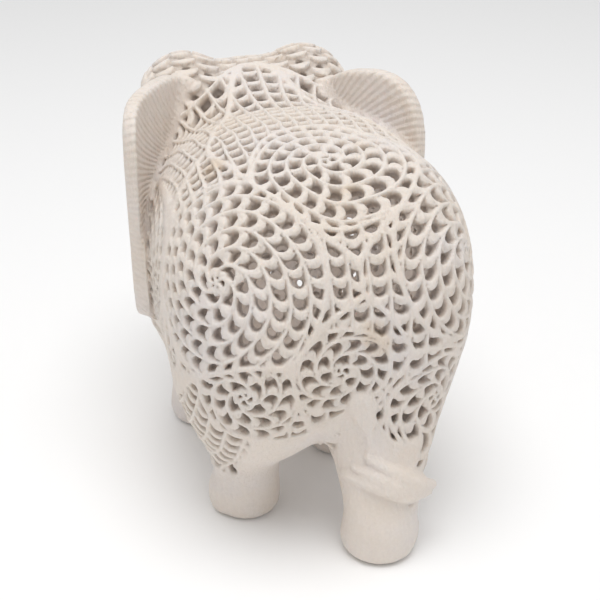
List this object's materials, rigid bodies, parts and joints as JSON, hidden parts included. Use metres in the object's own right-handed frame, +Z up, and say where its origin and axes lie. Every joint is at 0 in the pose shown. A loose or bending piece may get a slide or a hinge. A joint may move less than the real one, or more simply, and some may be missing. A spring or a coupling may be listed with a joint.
{
  "type": "elephant sculpture",
  "caption": "Walking elephant carved in pale stone, with a hollow body pierced all over in a scroll lattice and plain ears, legs and trunk",
  "frame": {"origin": "on the ground, under the centre of the bounding box", "axes": "+Z up, the elephant faces -Y and its left side is +X"},
  "size_m": [0.1002, 0.172, 0.1303],
  "materials": {
    "stone": "matte"
  },
  "bodies": {
    "root": {"elephant": "stone"}
  },
  "joints": []
}
